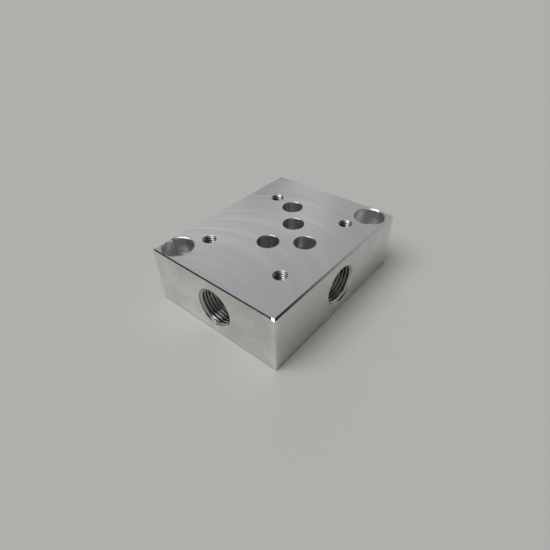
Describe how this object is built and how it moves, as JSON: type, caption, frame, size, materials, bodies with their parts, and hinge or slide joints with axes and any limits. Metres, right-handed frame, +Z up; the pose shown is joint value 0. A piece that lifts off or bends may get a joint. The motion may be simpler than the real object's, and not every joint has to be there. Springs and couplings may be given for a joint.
{
  "type": "hydraulic valve subplate",
  "caption": "Rectangular machined aluminium block that bolts a hydraulic directional valve to its flat top and leads the valve's flow ports to threaded pipe ports in its sides.",
  "frame": {"origin": "middle of the base", "axes": "+X along the long sides, +Y towards the back, +Z up out of the valve face"},
  "size_m": [0.1, 0.078, 0.0318],
  "materials": {
    "milled_aluminium": "milled, fine tool marks"
  },
  "bodies": {
    "root": {"subplate": "milled_aluminium"}
  },
  "joints": []
}
